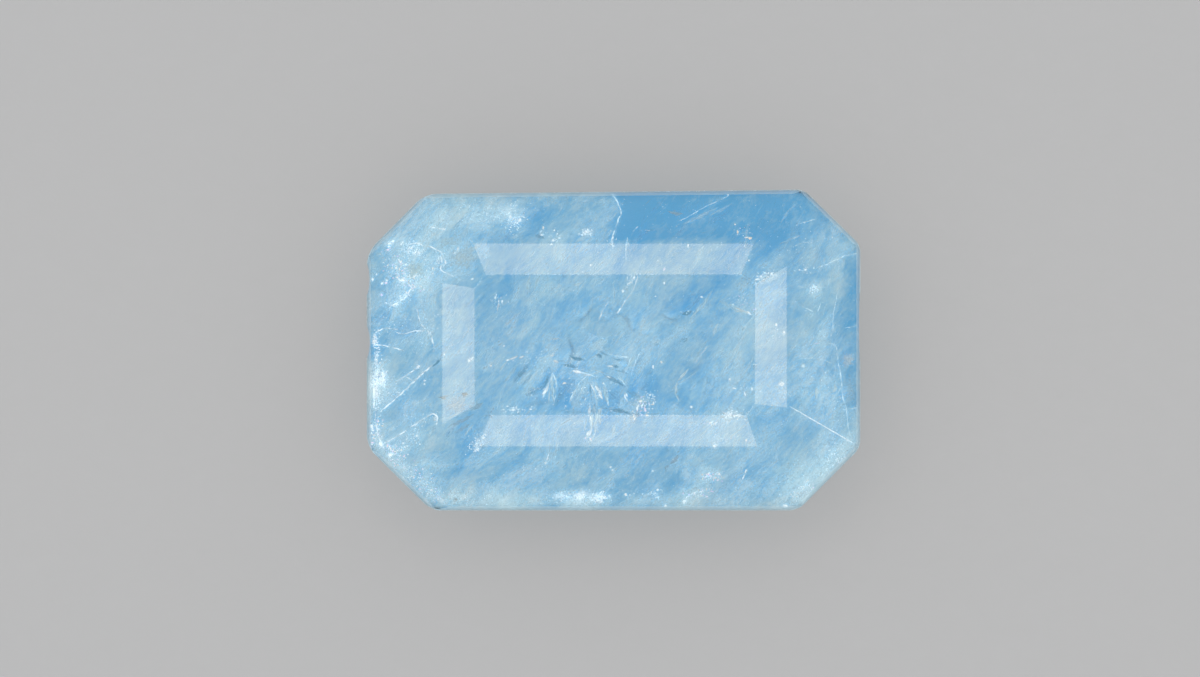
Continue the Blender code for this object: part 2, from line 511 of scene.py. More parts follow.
def wear_edges(body, ground):
    """Rounds the outline well and the other edges barely, and paints how finely ground they are."""

    def in_outline(edge):
        steep = [abs(face.normal.z) < UPRIGHT for face in edge.link_faces]
        return sum(steep) == 1 and all(is_outer(face) for face in edge.link_faces)

    def inside_outline(edge):
        rounded_corner = all(abs(face.normal.z) < UPRIGHT for face in edge.link_faces)
        sharpest_kept = math.radians(8 if rounded_corner else 5)
        unworn = all(face[ground] < 1 for face in edge.link_faces)
        return unworn and edge.calc_face_angle(0) > sharpest_kept

    for is_worn, (width, rubbed) in ((in_outline, OUTLINE_WEAR), (inside_outline, INNER_WEAR)):
        worn = [edge for edge in body.edges if is_worn(edge)]
        made = bmesh.ops.bevel(
            body, geom=worn, offset=width * MM, segments=2, profile=0.5, affect="EDGES", clamp_overlap=False
        )
        for face in made["faces"]:
            face[ground] = rubbed


def make_stone():
    """The stone with its facets as single flat faces, its outline rubbed and its other edges barely worn."""
    body = STONE.copy()
    ground = body.faces.layers.float.new("ground")
    flattest_ground = math.cos(math.radians(52))
    for face in body.faces:
        at_girdle = GIRDLE_BAND[0] < face.calc_center_median().z < GIRDLE_BAND[1]
        rubbed = 0.9 if abs(face.normal.z) < UPRIGHT else 0.35
        face[ground] = rubbed if at_girdle and abs(face.normal.z) < flattest_ground else 0.0
    wear_edges(body, ground)
    mesh = bpy.data.meshes.new("sapphire_stone")
    body.to_mesh(mesh)
    body.free()
    mesh.shade_smooth()
    stone = add_piece(mesh, stone_material())
    flat = stone.modifiers.new("flat facets", "WEIGHTED_NORMAL")
    flat.keep_sharp = False
    flat.weight = 100
    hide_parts(NODE)


# The flaws

WHITE = (0.92, 0.96, 0.98)
ICE = (0.68, 0.87, 0.94)
PALE = (0.53, 0.77, 0.88)
WARM = (1.0, 0.88, 0.76)
ORANGE = (1.0, 0.68, 0.40)
PINK = (0.98, 0.66, 0.84)
VIOLET = (0.74, 0.60, 0.96)
SAGE = (0.56, 0.75, 0.80)
BEIGE = (0.50, 0.68, 0.76)
ROSE = (0.56, 0.68, 0.76)
BROWN = (0.42, 0.48, 0.50)
GREY = (0.26, 0.44, 0.57)
# TEAL colours dark needles and marks, and the feather's dark blades, which are painted shade
TEAL = (0.05, 0.30, 0.49)
DEEP = (0.10, 0.40, 0.70)
# SHADE is painted shade: dark flecks among the glints and in the feather, for shadows beside bright spots
SHADE = (0.0, 0.18, 0.34)

# How near to the crown and to the deepest cloud a flaw may lie, as shares of the way down, and the whole way
# where no cloud lies below
SHALLOWEST = 0.04
DEEPEST = 0.93
WAY_WITHOUT_CLOUD = 0.15 * MM

# How far apart two flaws lie in the noise of their grain, so that no two look alike
LAYER_STEP = 3.7


def smooth_path(corners, step):
    """Points about one step apart along a smooth line through the corners."""
    corners = [Vector(corner) for corner in corners]
    ends = [2 * corners[0] - corners[1], *corners, 2 * corners[-1] - corners[-2]]
    path = []
    for before, start, end, after in zip(ends, ends[1:], ends[2:], ends[3:]):
        pieces = max(1, round((end - start).length / step))
        for piece in range(pieces):
            s = piece / pieces
            path.append(
                0.5 * (2 * start + (end - before) * s + (2 * before - 5 * start + 4 * end - after) * s**2
                       + (3 * start - before - 3 * end + after) * s**3)
            )
    return [*path, corners[-1]]


def turned_about(x, y, turn):
    """A function that gives the pixel so far along and across a line with this turn through (x, y)."""
    cos, sin = math.cos(math.radians(turn)), math.sin(math.radians(turn))
    return lambda along, across: (x + along * cos + across * sin, y - along * sin + across * cos)


class Flaws:
    """Sheets and flakes gathered into one mesh, each point with its strength, tint and place in the grain.

    Places and sizes are in pixels of the photograph, and turns in degrees counter-clockwise from its right.
    A depth is the share of the way down the line of sight, from the crown to the deepest skin of cloud.
    """

    def __init__(self, seed, cloud):
        self.draw = random.Random(seed)
        self.cloud = cloud
        self.points, self.faces, self.strengths, self.tints, self.grains = [], [], [], [], []
        self.layer = 0

    def any_shift(self):
        """A random place in the noise."""
        return self.draw.uniform(0, 50)

    def point(self, x, y, depth, strength, grain, tint):
        entry, ray = line_of_sight(x, y)
        way_down = self.cloud.ray_cast(entry, ray)[3] or WAY_WITHOUT_CLOUD
        self.points.append(entry + ray * way_down * min(max(depth, SHALLOWEST), DEEPEST))
        self.strengths.append(strength)
        self.tints.append((*tint, 1))
        self.grains.append((*grain, LAYER_STEP * self.layer))
        return len(self.points) - 1

    def sheet(self, rows, tint):
        """A surface through rows of (x, y, depth, strength, grain), all rows of one length."""
        self.layer += 1
        grid = [[self.point(*spot, tint) for spot in row] for row in rows]
        for upper, lower in zip(grid, grid[1:]):
            self.faces.extend(zip(upper, upper[1:], lower[1:], lower))

    def blade(self, x, y, length, width, turn, tint, strength=1.0, depth=0.5, lean=0.0, climb=0.0, bow=0.0,
              ragged=0.0):
        """A pointed blade. It leans across its width and climbs along its length, as rises over runs."""
        pixel_at = turned_about(x, y, turn)
        columns = 2 if width < 1.2 else 4
        rows = max(3, min(14, round(length / 2.5)))
        shift = self.any_shift()
        grid = []
        for row in range(rows + 1):
            u = 2 * row / rows - 1
            along = u * length / 2
            half = width / 2 * (1 - abs(u) ** 1.7)
            line = []
            for column in range(columns + 1):
                v = 2 * column / columns - 1
                wave = 1 + ragged * noise.noise(Vector((u * length * 0.12 + shift, v, 0)))
                across = v * half * wave + bow * (1 - u * u)
                fall = (lean * v * half + climb * along) * PIXEL / MM
                shown = strength * (1 - 0.75 * abs(v) ** 1.5) * (1 - 0.6 * u * u)
                line.append((*pixel_at(along, across), depth + fall, shown, (along, across)))
            grid.append(line)
        self.sheet(grid, tint)

    def thread(self, corners, width, tint, strength=1.0, depth=0.3, ragged=1.0):
        """The bright edge of a crack: a thin broken ribbon along a line, with splinters beside it."""
        path = smooth_path(corners, 1.6)
        shift = self.any_shift()
        grid = []
        for place, spot in enumerate(path):
            ahead, behind = path[min(place + 1, len(path) - 1)], path[max(place - 1, 0)]
            way = (ahead - behind).normalized()
            share = place / (len(path) - 1)
            slow = noise.noise(Vector((place * 0.22 + shift, 0, 0)))
            quick = noise.noise(Vector((place * 0.7, shift, 5)))
            half = width / 2 * min(1, 0.3 + 6 * share, 0.3 + 6 * (1 - share)) * (1 + ragged * 0.7 * slow)
            shown = strength * max(0.05, 0.8 + ragged * (1.5 * slow + 1.2 * quick))
            jitter = ragged * (0.7 * quick + 0.7 * noise.noise(Vector((place * 0.3, 0, shift))))
            grid.append([
                (spot.x - way.y * (side * half + jitter), spot.y + way.x * (side * half + jitter),
                 depth, shown * (1 - 0.5 * abs(side)), (place * 1.6, side))
                for side in (-1, 0, 1)
            ])
            if ragged * self.draw.random() > 0.8:
                aside = self.draw.choice((-1, 1)) * self.draw.uniform(12, 60)
                turn = math.degrees(math.atan2(-way.y, way.x)) + aside
                self.blade(spot.x, spot.y, self.draw.uniform(2, 7), 0.6, turn, tint, 0.7 * shown, depth)
        self.sheet(grid, tint)

    def curtain(self, corners, drift, tint, strength=0.5, depth=0.12, fall=0.7, rows=7):
        """A crack's face: it hangs from a smooth line and drifts aside as it goes down."""
        path = smooth_path(corners, 3)
        last = len(path) - 1
        shift = self.any_shift()
        grid = []
        for row in range(rows + 1):
            share = row / rows
            line = []
            for place, spot in enumerate(path):
                wave = noise.noise(Vector((place * 0.2 + shift, share * 2, 0)))
                ends = min(1, 5 * place / last, 5 * (1 - place / last))
                shown = max(0.0, strength * (1 - share) ** 1.3 * (0.6 + 0.8 * wave) * ends)
                reach = share * (1 + 0.4 * wave)
                x, y = spot.x + drift[0] * reach, spot.y + drift[1] * reach
                line.append((x, y, depth + fall * share, shown, (share * math.hypot(*drift), 3 * place)))
            grid.append(line)
        self.sheet(grid, tint)

    def patch(self, x, y, half_length, half_width, turn, tint, strength=0.5, depth=0.4, dish=0.2, rings=6,
              spokes=28, core=0.15):
        """A soft round stain or glare, dished, with a ragged rim."""
        pixel_at = turned_about(x, y, turn)
        shift = Vector((self.any_shift(), 0, 0))
        grid = []
        for ring in range(rings + 1):
            share = ring / rings
            shown = strength * (1 - smooth_step(core, 1.0, share))
            line = []
            for spoke in range(spokes + 1):
                angle = 2 * math.pi * (spoke % spokes) / spokes
                way = Vector((math.cos(angle), math.sin(angle), 0))
                rim = 1 + 0.5 * noise.fractal(way * 1.5 + shift, 0.7, 2.0, 3)
                spot = (share * rim * half_length * way.x, share * rim * half_width * way.y)
                line.append((*pixel_at(*spot), depth + dish * share * share, shown, spot))
            grid.append(line)
        self.sheet(grid, tint)

    def flake(self, x, y, length, width, turn, tint, depth=0.3, tip=0.4):
        """A chip of a fracture: a small ragged shape, tipped out of level, for a painted glint or a fleck of
        painted shade.
        """
        self.layer += 1
        pixel_at = turned_about(x, y, turn)
        corners = self.draw.choice((4, 5, 6))
        start = self.draw.uniform(0, 360)
        way = self.draw.uniform(0, 2 * math.pi)
        rim = []
        for corner in range(corners):
            angle = math.radians(start + 360 * (corner + self.draw.uniform(-0.3, 0.3)) / corners)
            reach = self.draw.uniform(0.7, 1.2)
            along, across = reach * math.cos(angle) * length / 2, reach * math.sin(angle) * width / 2
            rise = tip * (along * math.cos(way) + across * math.sin(way)) * PIXEL / MM
            rim.append(self.point(*pixel_at(along, across), depth + rise, 1.0, (0, 0), tint))
        self.faces.append(tuple(rim))

    def piece(self, name, material):
        mesh = bpy.data.meshes.new(name)
        mesh.from_pydata(drawn_inside(np.array(self.points)).tolist(), [], self.faces)
        for attribute, kind, field, values in (
            ("strength", "FLOAT", "value", self.strengths),
            ("tint", "FLOAT_COLOR", "color", self.tints),
            ("grain", "FLOAT_VECTOR", "vector", self.grains),
        ):
            data = np.array(values, dtype=float).ravel()
            mesh.attributes.new(attribute, kind, "POINT").data.foreach_set(field, data)
        mesh.shade_smooth()
        add_piece(mesh, material).visible_shadow = False


def haze_spot(x, y):
    """How milky the stone is at a pixel."""
    return haze_at(np.array([[(x - STONE_MIDDLE_PX[0]) * PIXEL, (STONE_MIDDLE_PX[1] - y) * PIXEL, 0]]))[0]


# The pixels of the stone's left, right, upper and lower edge, and how far its slanting corners lie from its
# middle, as the sum of both distances
EDGES_PX = (368, 860, 192, 510)
CORNERS_PX = 338


def spot_in_stone(draw, inset=6):
    """A random pixel inside the stone's outline."""
    left, right, top, bottom = EDGES_PX
    while True:
        x, y = draw.uniform(left + inset, right - inset), draw.uniform(top + inset, bottom - inset)
        if abs(x - STONE_MIDDLE_PX[0]) + abs(y - STONE_MIDDLE_PX[1]) < CORNERS_PX - 1.4 * inset:
            return x, y


# The bright lines where cracks meet the eye edge-on, whose brightness is partly a painted highlight, as they
# glow: tint, strength, width, corners
LINES = (
    # round the shattered zone at the left end
    (WHITE, 0.75, 1.4, ((408, 244.6), (418, 243.6), (425.4, 246.8), (432.4, 247.8), (439.4, 251),
     (444, 256), (446.6, 263))),
    (WHITE, 0.7, 1.5, ((442, 257), (443, 264), (442.2, 270), (447.8, 274), (455.5, 277.2))),
    (WHITE, 0.6, 1.4, ((430.3, 227.8), (438, 228.5), (447, 230.3))),
    (WHITE, 0.9, 1.6, ((413.4, 286), (410, 292.4), (407, 297.3), (401.5, 300.2), (396, 304), (391, 305.5),
     (386, 302.9))),
    (WHITE, 0.6, 1.2, ((399, 280), (407, 281), (414, 277.5), (418, 273.8))),
    (WHITE, 0.65, 1.3, ((418, 309), (420, 318), (424, 326), (429, 331), (433, 338), (435.6, 348))),
    (WHITE, 0.75, 1.3, ((375, 333), (383, 328.5), (391, 328.4), (398, 329.2))),
    (WHITE, 0.7, 1.3, ((396.3, 332), (401, 334), (406, 333.6), (415, 331.2), (427, 330.5))),
    (WHITE, 0.85, 1.3, ((374, 345.3), (380, 345), (387, 346), (394.5, 347.7), (404, 350.6))),
    # the straight crack below it, and the lines beside it
    (WHITE, 1.0, 1.7, ((381, 410.5), (393.5, 401), (408, 388), (422, 375.4), (434.5, 364))),
    (WHITE, 0.5, 1.1, ((391, 385.5), (406, 376), (419.5, 366.8))),
    (WHITE, 0.6, 1.0, ((407.4, 376.7), (413.2, 380.7))),
    (WHITE, 0.7, 1.2, ((382.5, 445), (402, 433), (422, 420.2), (430.5, 415))),
    (WHITE, 1.0, 1.8, ((430.6, 414.6), (434, 412.9), (437.4, 414.6), (438.6, 418.5), (437.6, 424.2))),
    # the left end's inner edge
    (WHITE, 0.95, 2.0, ((373.4, 388), (373.2, 400), (373.2, 408))),
    (WHITE, 0.6, 1.2, ((375.6, 412), (376, 424), (379, 436), (383, 447))),
    # the ragged border between pale and deep blue at the top
    (PALE, 0.8, 1.6, ((612, 193.4), (616.4, 200), (621.2, 212.5), (619, 218), (615.5, 228), (612, 238.2),
     (610.9, 245))),
    (WHITE, 0.45, 1.2, ((632, 233), (634.6, 230), (637.6, 227.2))),
    (WHITE, 0.4, 1.0, ((640.5, 231.4), (644, 230.6), (649, 231.6))),
    (PALE, 0.6, 1.6, ((627.4, 238), (625.8, 246), (626, 260))),
    (WHITE, 0.55, 1.5, ((637.5, 276), (633, 290), (624, 303), (617, 314))),
    (WHITE, 0.5, 1.3, ((635, 278), (629, 284), (622, 292))),
    (WHITE, 0.35, 1.2, ((609, 301), (604, 309), (598, 322))),
    # the right end
    (ICE, 0.6, 1.2, ((816, 268), (825.3, 264.6), (840, 258), (849, 254.7), (857, 253.4))),
    (ICE, 0.5, 1.1, ((793.6, 247), (800, 244), (808, 242))),
    (ICE, 0.45, 1.2, ((795, 225.8), (805, 222), (815, 219.6))),
    (ICE, 0.5, 1.0, ((837.8, 292), (835, 305), (833.2, 313), (832.6, 331))),
    (ICE, 0.4, 1.0, ((820, 303), (816, 313))),
    (ICE, 0.55, 1.1, ((845, 328), (857, 325.4))),
    (ICE, 0.5, 1.0, ((797, 286.4), (803, 288))),
    (ICE, 0.45, 1.0, ((796.3, 304.9), (804, 308), (812, 312))),
    (ICE, 0.6, 1.1, ((828, 343), (835.9, 347), (837.8, 361), (841, 377), (843, 398), (846.4, 410),
     (848.4, 426), (850.4, 436))),
    (ICE, 0.55, 1.1, ((844, 409.6), (857, 407.8))),
    (ICE, 0.3, 0.9, ((798.9, 358.8), (815, 358), (832, 363.4))),
    (PINK, 0.6, 1.2, ((812.5, 343.4), (818.5, 343))),
    (WHITE, 0.4, 1.1, ((707, 345.6), (700, 354), (694.6, 362.7))),
    (ICE, 0.45, 1.1, ((678, 222), (690, 216), (705, 207), (729, 195.6))),
    # below, in the middle
    (WHITE, 0.75, 1.3, ((549.6, 452), (548, 457), (546.2, 463))),
    (WHITE, 0.5, 1.2, ((685, 499), (695, 492), (703.8, 491.4))),
    (WHITE, 0.7, 1.6, ((745.4, 469.4), (743.8, 474), (742, 479))),
    (ICE, 0.4, 1.1, ((797.6, 492.8), (803, 489), (806, 484))),
    (WHITE, 0.6, 1.3, ((625, 391.6), (624.8, 396), (627.4, 401))),
    # the feather's outlines
    (PALE, 0.6, 1.1, ((553, 372.6), (551, 379), (547, 389), (543.5, 397.5))),
    (PALE, 0.6, 1.1, ((553.4, 372.6), (556.4, 382), (556.4, 392), (554.4, 402.6))),
    (PALE, 0.5, 1.1, ((587, 376), (579.7, 382.4), (574, 392), (569.8, 401.5))),
    (PALE, 0.6, 1.1, ((604, 382), (607.4, 392), (608.7, 405))),
    (PALE, 0.6, 1.1, ((617, 376), (622, 381), (627, 387.4))),
    (ICE, 0.5, 1.1, ((633, 354), (629, 362), (626.6, 371))),
    (ICE, 0.5, 1.1, ((640, 352), (635, 362), (631, 374))),
    (WHITE, 0.3, 1.3, ((589.4, 405), (590.6, 415), (592.4, 427), (587, 438))),
    (ICE, 0.35, 1.1, ((594, 406), (597, 418), (596, 430), (590.6, 441))),
    # painted shade: a dark line down the feather's middle
    (TEAL, 0.8, 1.1, ((590, 382), (591.4, 390), (591, 398.6))),
    (PALE, 0.7, 1.1, ((580, 372.4), (588, 373.4), (597, 377))),
    (ICE, 0.5, 1.0, ((597, 345), (606, 352), (618, 356), (630, 357))),
)
LINE_STRENGTH = 1.45
LINE_WIDTH = 0.74

# The straight crack at the left end as its face hangs from it, and a painted highlight: a glowing white line
# just under the straight edge of the lower right corner's main facet
STRAIGHT_CRACK = ((381, 410.5), (408, 388), (434.5, 364))
PAINTED_EDGE_HIGHLIGHT = ((787.7, 405.6), (855.0, 443.9))

# The feather that spreads from one point in the table's lower half, and blades elsewhere: centre, length,
# width, turn, tint, strength
FEATHER = (
    # dark blades, painted shade: the dark-blue shadows beside and between the feather's petals
    (522.5, 372.6, 30, 6, 52, TEAL, 0.7), (528.5, 378, 22, 4, 50, TEAL, 0.5),
    (516, 368, 16, 3, 54, TEAL, 0.4), (544, 383, 20, 5, 55, TEAL, 0.7), (534, 392, 14, 10, 30, TEAL, 0.55),
    (549, 376, 12, 3, 60, TEAL, 0.4), (569.5, 365.4, 17, 3.6, -10, TEAL, 1.0),
    (577, 357.2, 18, 4.2, -18, TEAL, 1.0), (560, 360, 12, 3, -4, TEAL, 0.4),
    (598.8, 356.4, 8, 5.0, -40, TEAL, 0.9), (618.4, 358.8, 12, 3.4, -8, TEAL, 1.0),
    (604, 352, 12, 4, -30, TEAL, 0.4), (615.6, 365.2, 10, 3.4, -12, TEAL, 0.9),
    (614, 380.6, 27, 4.4, -30, TEAL, 1.0), (622, 372, 16, 3, -14, TEAL, 0.5),
    (568, 388, 26, 17, 50, DEEP, 0.6), (590.6, 391, 19, 2.2, -84, TEAL, 0.8),
    (560, 398, 20, 8, 56, TEAL, 0.4), (594.4, 409, 13, 7, 88, GREY, 0.7),
    (619.6, 411.4, 26, 4.4, -10, TEAL, 1.0), (604, 408, 14, 3, -20, TEAL, 0.35),
    (612, 398, 20, 12, -40, DEEP, 0.5), (574, 411, 30, 3, -4, TEAL, 0.3), (540, 404, 34, 6, 8, TEAL, 0.25),
    (644.5, 385, 14, 8, 40, DEEP, 0.5), (683, 340, 9, 6, 20, TEAL, 0.5), (656, 343, 7, 5, 30, TEAL, 0.7),
    (634, 394, 18, 5, -28, TEAL, 0.5), (650, 372, 16, 3, 50, TEAL, 0.3), (640, 360, 18, 4, 55, DEEP, 0.4),
    # white blades
    (526.4, 377, 34, 5, 50, PALE, 0.7), (534, 376, 26, 3, 52, ICE, 0.5),
    (513.6, 357.6, 13, 2.6, 22, WHITE, 1.0), (505, 366, 16, 3, 52, ICE, 0.5),
    (511, 374, 22, 4, 50, PALE, 0.6), (541, 372, 16, 3, 56, PALE, 0.5),
    (522.6, 357.4, 7, 2.8, 30, WHITE, 1.1), (552.2, 355.7, 6, 2.4, 5, WHITE, 1.2),
    (548, 360, 10, 2, 60, ICE, 0.6), (556, 361.8, 7, 3.2, -20, WHITE, 1.1),
    (555.6, 339, 11, 1.8, 4, WHITE, 0.8), (545, 357, 12, 2, 12, ICE, 0.5),
    (577.8, 371.6, 11, 3.0, -12, WHITE, 1.3), (588, 374.6, 9, 2.2, 0, WHITE, 0.9),
    (595, 372, 12, 3, 20, ICE, 0.5), (546, 389.3, 14, 3.2, 60, WHITE, 1.4),
    (553.6, 387.5, 32, 4.0, -86, PALE, 1.0), (550, 394, 18, 2.0, 84, ICE, 0.7),
    (547, 388, 24, 2.6, 70, PALE, 0.9), (556.6, 381, 16, 2.6, -74, PALE, 0.8),
    (552, 378, 12, 3, 80, ICE, 0.6), (581, 394, 38, 21, 66, PALE, 0.55), (575, 392, 26, 2.4, 63, ICE, 0.8),
    (583, 388, 22, 2, 70, ICE, 0.6), (610.8, 366.2, 9, 2.2, -5, WHITE, 1.0),
    (609.6, 377.4, 10, 2.6, -22, WHITE, 1.1), (600, 371, 14, 2, -18, ICE, 0.5),
    (622.4, 380.4, 17, 2.6, -50, PALE, 0.9), (592.6, 387, 12, 1.5, -64, WHITE, 1.2),
    (597, 384, 8, 2, -60, ICE, 0.7), (599.4, 392, 17, 2.0, -64, WHITE, 1.4),
    (606.4, 394, 25, 4.0, -78, PALE, 0.9), (596, 398, 20, 2, -80, ICE, 0.6),
    (590, 410, 12, 2.6, 84, WHITE, 0.8), (591.8, 420, 18, 4.6, 88, ICE, 0.8),
    (596, 424, 18, 4, 84, ICE, 0.7), (589.6, 431.6, 15, 4.0, 66, ICE, 0.8),
    (601.2, 415, 17, 8, 86, ICE, 0.8), (586, 424, 14, 3, 80, ICE, 0.5), (613, 429, 14, 4, 82, ICE, 0.6),
    (632, 362, 20, 2.8, 62, PALE, 0.8), (638, 372, 28, 2.8, 60, PALE, 0.7), (626, 368, 18, 2, 66, ICE, 0.4),
    (645, 364, 24, 2, 56, PALE, 0.5), (598, 342, 24, 13, 30, PALE, 0.55),
    # elsewhere in the table and at the right
    (682, 374.5, 19, 3.2, 47, ICE, 0.9), (675.4, 388, 15, 3.4, 82, ICE, 0.9),
    (676.4, 397, 8, 3, 110, ICE, 0.9), (706, 300, 28, 3, 60, PALE, 0.9), (695, 314, 28, 3.6, 55, PALE, 0.8),
    (686, 313, 11, 4.4, 20, TEAL, 1.3), (696, 300, 30, 3, 48, DEEP, 0.6), (734, 308, 36, 7, -22, PALE, 0.6),
    (741, 311, 20, 2.2, -22, WARM, 0.9), (815.4, 393, 13, 4.4, 86, ICE, 1.0),
    (833.2, 388, 10, 4.6, 80, ICE, 1.1), (801.5, 366.2, 6, 4, 0, ICE, 1.2),
    (714.4, 330, 14, 4, 70, ICE, 0.7), (530, 284, 20, 3.4, 84, PALE, 0.7), (538, 283, 16, 4, 70, PALE, 0.6),
    (499, 305, 14, 2.2, 84, WHITE, 0.7), (577.6, 284.7, 8, 4, 10, ICE, 0.7),
    (790, 240, 30, 3, 22, ICE, 0.4), (700, 216, 46, 5, 26, ICE, 0.35), (720, 210, 30, 4, 30, ICE, 0.3),
    (738, 345, 34, 4, 62, ICE, 0.4), (728, 360, 40, 5, 60, PALE, 0.5), (760, 330, 36, 5, 66, PALE, 0.4),
    (700, 350, 30, 4, 58, PALE, 0.4),
    # grey and brown strokes at the lower left
    (462, 420, 31, 4.0, 27, GREY, 0.8), (463, 427.4, 22, 4.0, 30, GREY, 0.7),
    (478, 406, 16, 5.4, 34, GREY, 0.9), (456, 414, 20, 2.4, 26, ICE, 0.6), (470, 430, 18, 3, 50, ICE, 0.5),
    (452, 432, 20, 6, 52, DEEP, 0.35), (443.6, 398, 9, 3, -10, BROWN, 0.9),
    (438, 362.4, 13, 3, 43, TEAL, 1.2), (446, 396, 14, 2, 8, BROWN, 0.5),
    # small grey marks
    (675.6, 212.2, 17, 4.6, -8, GREY, 0.9), (673.4, 458.2, 13, 5.4, 48, GREY, 1.2),
    (667, 467, 8, 4, 60, GREY, 0.9), (540, 238, 10, 5.0, -20, TEAL, 0.9),
)
FEATHER_STRENGTH = 1.3

# Soft stains: centre, half length, half width, turn, tint, strength, depth
STAINS = (
    (465, 258, 26, 16, 35, BEIGE, 0.9, 0.3), (450, 243, 18, 10, 20, BEIGE, 0.7, 0.35),
    (415.5, 271, 14, 10, 20, SAGE, 1.2, 0.2), (458, 404, 15, 13, 20, ROSE, 0.9, 0.3),
    (466, 394, 5, 3, 15, BROWN, 1.2, 0.2), (741, 285, 13, 9, 60, BEIGE, 0.5, 0.4),
    (848, 360, 9, 8, 70, ROSE, 1.0, 0.2), (849, 388, 8, 22, 0, GREY, 0.5, 0.25),
    (641, 402, 15, 11, 20, SAGE, 0.6, 0.35), (634, 417, 10, 5, 70, ROSE, 0.6, 0.3),
    (800, 494, 10, 5, 25, ROSE, 0.7, 0.2), (690, 490, 16, 4, 20, BEIGE, 0.6, 0.25),
    (455.5, 499.4, 3.4, 2.8, 0, BROWN, 1.1, 0.15), (815, 288, 9, 9, 0, ICE, 0.5, 0.3),
    (410, 330, 22, 14, 0, DEEP, 0.3, 0.5), (400, 300, 22, 16, 30, ICE, 0.3, 0.5),
    (425, 285, 16, 12, 0, ICE, 0.35, 0.4), (480, 440, 12, 14, -20, ICE, 0.45, 0.35),
    (730, 414, 18, 8, 0, ICE, 0.45, 0.3), (586, 233, 10, 6, 15, ICE, 0.6, 0.3),
    (560, 236, 16, 8, 20, ICE, 0.3, 0.4), (509, 213, 26, 15, 15, ICE, 0.55, 0.35),
    (480, 218, 26, 14, 10, ICE, 0.3, 0.4), (700, 476, 24, 10, 10, ICE, 0.35, 0.35),
    (770, 278, 14, 6, 20, ICE, 0.5, 0.3), (400, 470, 24, 12, -42, ICE, 0.4, 0.35),
    (430, 488, 18, 10, -40, ICE, 0.4, 0.3), (790, 470, 40, 22, 40, SAGE, 0.3, 0.35),
    (834, 450, 16, 16, 40, ICE, 0.3, 0.3), (740, 330, 30, 14, 60, ICE, 0.25, 0.4),
)

# Painted glare at shattered places, white patches that glow: centre, half length, half width, turn, strength
GLARES = (
    (380, 379, 11, 10, 30, 1.6), (375.6, 392, 3.6, 14, 0, 1.7), (374.6, 340, 3.2, 9, 0, 1.8),
    (376, 360, 3, 10, 0, 0.8), (598, 497.6, 11, 6.6, 0, 1.6), (579.5, 495.4, 8, 5.6, 10, 1.6),
    (560, 496, 13, 6, 0, 0.6), (578, 496, 36, 12, 0, 0.4), (516, 222, 12, 8, 30, 0.35),
    (508, 214, 10, 8, 60, 0.3), (812, 288, 7, 7, 0, 0.3), (779.8, 383.6, 4.6, 3.4, 20, 1.5),
    (586, 233, 7, 4, 15, 0.8), (436.6, 418, 3.2, 4.6, 0, 0.9), (471.8, 359, 3.6, 3, 30, 1.0),
    (390, 455, 4, 3, 10, 0.8), (599.6, 393, 3, 6, -24, 0.7), (546, 390, 3, 5, 30, 0.6),
    (577.8, 371.6, 6, 2.6, -12, 0.7), (391, 243, 6, 4, 20, 0.6), (404, 280, 6, 3.6, 0, 0.6),
    (409, 249, 5, 5, 0, 0.4), (417, 253, 6, 4, 0, 0.4), (405, 297, 8, 3, 35, 0.4), (383, 283, 4, 3, 0, 0.5),
    (419.5, 367, 3.6, 3, 40, 0.7), (704, 475, 6, 4, 10, 0.4), (730, 413, 12, 4, 0, 0.2),
    (440, 500, 18, 5, -30, 0.4), (785.8, 506, 4, 2.4, 0, 1.0), (478, 444, 7, 10, -25, 0.5),
    (381, 445, 4, 6, 30, 0.7), (372.5, 428, 2.4, 6, 0, 0.8), (762, 276, 10, 4, 25, 0.5),
)
GLARE_STRENGTH = 0.8
GLARE_SIZE = 0.9
